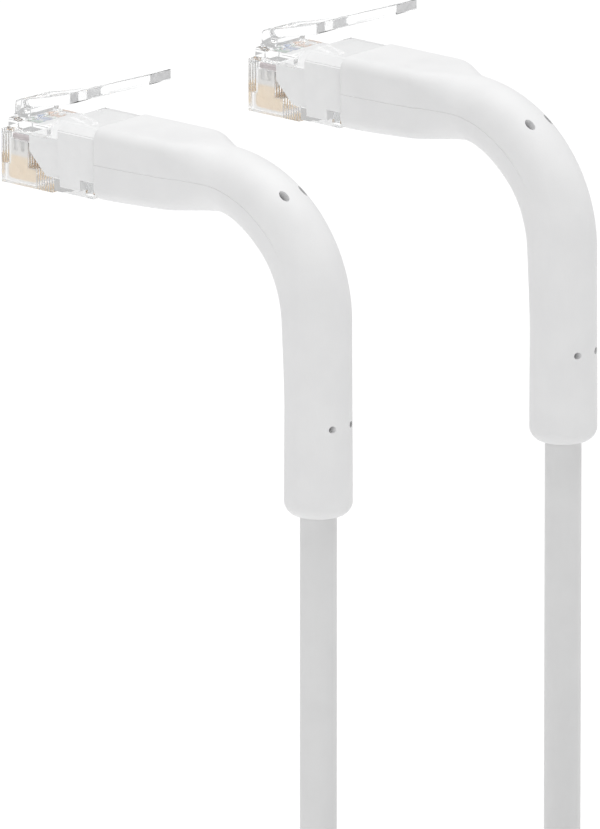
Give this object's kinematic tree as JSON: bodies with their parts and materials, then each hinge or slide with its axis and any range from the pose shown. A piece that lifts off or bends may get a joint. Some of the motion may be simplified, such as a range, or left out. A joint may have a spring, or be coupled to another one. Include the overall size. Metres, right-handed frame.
{
  "type": "ethernet patch cable",
  "caption": "Round patch cable with a clear latched modular plug and a soft bendable strain-relief boot on each end, spare length coiled and tied.",
  "frame": {"origin": "centre of plug A's nose face", "axes": "+Z towards the latches, +X from the plugs' noses towards the cable, +Y from plug A to plug B"},
  "size_m": [0.1232, 0.0664, 0.1516],
  "materials": {
    "clear_plastic": "clear polycarbonate, gloss",
    "gold_contact": "gold plated, satin",
    "conductor": "coloured insulation",
    "white_mould": "moulded polyethylene, satin",
    "boot": "soft moulded elastomer, satin",
    "jacket": "extruded PVC, satin",
    "steel_wire": "annealed wire, satin",
    "tie": "hook-and-loop strap"
  },
  "bodies": {
    "cable": {"cable_a": "jacket", "cable_b": "jacket", "cable_coil": "jacket", "coil_tie": "tie", "boot_a_rear": "boot", "boot_a_cable": "jacket", "boot_a_wire_pairs": "conductor", "boot_a_shape_wires": "steel_wire", "boot_b_rear": "boot", "boot_b_cable": "jacket", "boot_b_wire_pairs": "conductor", "boot_b_shape_wires": "steel_wire"},
    "boot_a_lower_link": {"boot_a_bend_1": "boot"},
    "boot_a_upper_link": {"boot_a_bend_2": "boot", "boot_a_bend_3": "boot"},
    "plug_a": {"plug_a_housing": "clear_plastic", "plug_a_contacts": "gold_contact", "plug_a_conductors": "conductor", "plug_a_wire_guide": "white_mould", "plug_a_inner_mould": "white_mould", "plug_a_strain_bar": "clear_plastic", "boot_a_front": "boot"},
    "latch_a": {"plug_a_latch": "clear_plastic"},
    "boot_b_lower_link": {"boot_b_bend_1": "boot"},
    "boot_b_upper_link": {"boot_b_bend_2": "boot", "boot_b_bend_3": "boot"},
    "plug_b": {"plug_b_housing": "clear_plastic", "plug_b_contacts": "gold_contact", "plug_b_conductors": "conductor", "plug_b_wire_guide": "white_mould", "plug_b_inner_mould": "white_mould", "plug_b_strain_bar": "clear_plastic", "boot_b_front": "boot"},
    "latch_b": {"plug_b_latch": "clear_plastic"}
  },
  "joints": [
    {"name": "boot_a_bend_1", "type": "hinge", "parent": "cable", "child": "boot_a_lower_link", "pos_m": [0.0531, 0, -0.01084], "axis": [0, 1, 0], "range_deg": [0, 30], "deforming": ["boot_a_bend_1", "boot_a_bend_2", "boot_a_bend_3", "boot_a_cable", "boot_a_wire_pairs", "boot_a_shape_wires"]},
    {"name": "boot_a_bend_2", "type": "hinge", "parent": "boot_a_lower_link", "child": "boot_a_upper_link", "pos_m": [0.04849, 0, -0.00286], "axis": [0, 1, 0], "range_deg": [0, 30], "deforming": ["boot_a_bend_1", "boot_a_bend_2", "boot_a_bend_3", "boot_a_cable", "boot_a_wire_pairs", "boot_a_shape_wires"]},
    {"name": "boot_a_bend_3", "type": "hinge", "parent": "boot_a_upper_link", "child": "plug_a", "pos_m": [0.04051, 0, 0.00175], "axis": [0, 1, 0], "range_deg": [0, 30], "deforming": ["boot_a_bend_1", "boot_a_bend_2", "boot_a_bend_3", "boot_a_cable", "boot_a_wire_pairs", "boot_a_shape_wires"]},
    {"name": "latch_a_flex", "type": "hinge", "parent": "plug_a", "child": "latch_a", "pos_m": [0.0017, 0, 0.00605], "axis": [0, 1, 0], "range_deg": [0, 11], "stiffness_Nm_per_rad": 0.05},
    {"name": "boot_b_bend_1", "type": "hinge", "parent": "cable", "child": "boot_b_lower_link", "pos_m": [0.0531, 0.0514, -0.01084], "axis": [0, 1, 0], "range_deg": [0, 30], "deforming": ["boot_b_bend_1", "boot_b_bend_2", "boot_b_bend_3", "boot_b_cable", "boot_b_wire_pairs", "boot_b_shape_wires"]},
    {"name": "boot_b_bend_2", "type": "hinge", "parent": "boot_b_lower_link", "child": "boot_b_upper_link", "pos_m": [0.04849, 0.0514, -0.00286], "axis": [0, 1, 0], "range_deg": [0, 30], "deforming": ["boot_b_bend_1", "boot_b_bend_2", "boot_b_bend_3", "boot_b_cable", "boot_b_wire_pairs", "boot_b_shape_wires"]},
    {"name": "boot_b_bend_3", "type": "hinge", "parent": "boot_b_upper_link", "child": "plug_b", "pos_m": [0.04051, 0.0514, 0.00175], "axis": [0, 1, 0], "range_deg": [0, 30], "deforming": ["boot_b_bend_1", "boot_b_bend_2", "boot_b_bend_3", "boot_b_cable", "boot_b_wire_pairs", "boot_b_shape_wires"]},
    {"name": "latch_b_flex", "type": "hinge", "parent": "plug_b", "child": "latch_b", "pos_m": [0.0017, 0.0514, 0.00605], "axis": [0, 1, 0], "range_deg": [0, 11], "stiffness_Nm_per_rad": 0.05}
  ],
  "couplings": [
    {"joint": "boot_a_bend_2", "follows": "boot_a_bend_1", "ratio": 1},
    {"joint": "boot_a_bend_3", "follows": "boot_a_bend_1", "ratio": 1},
    {"joint": "boot_b_bend_2", "follows": "boot_b_bend_1", "ratio": 1},
    {"joint": "boot_b_bend_3", "follows": "boot_b_bend_1", "ratio": 1}
  ]
}
